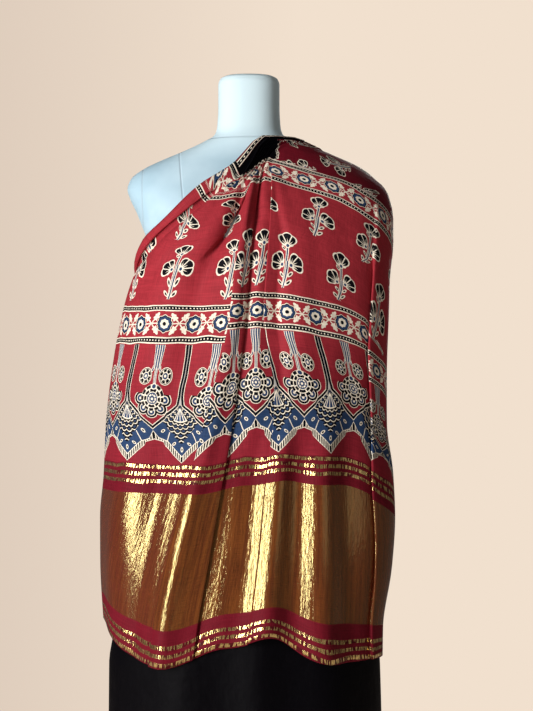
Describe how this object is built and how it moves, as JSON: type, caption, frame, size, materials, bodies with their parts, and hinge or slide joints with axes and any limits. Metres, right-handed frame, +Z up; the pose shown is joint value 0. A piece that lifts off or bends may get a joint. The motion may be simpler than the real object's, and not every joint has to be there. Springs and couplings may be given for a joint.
{
  "type": "draped ajrakh saree on a dress form",
  "caption": "Block-printed ajrakh saree, wrapped as a skirt and brought over one shoulder so its end panel hangs spread over the front, on a plain dress form with pole and round base.",
  "frame": {"origin": "centre of the underside of the round base, on the floor", "axes": "+Z up along the pole, -Y towards the front of the drape, +X towards the shoulder that carries the cloth"},
  "size_m": [0.5145, 0.3852, 1.56],
  "materials": {
    "printed_silk": "soft silk with a low sheen, resist and block printed in red, black and indigo, with a woven gold end",
    "form_canvas": "matte cotton canvas stretched over a padded form",
    "satin_steel": "satin tube",
    "painted_steel": "satin light grey paint"
  },
  "bodies": {
    "root": {"saree": "printed_silk", "torso": "form_canvas", "pole": "satin_steel", "base": "painted_steel"}
  },
  "joints": []
}
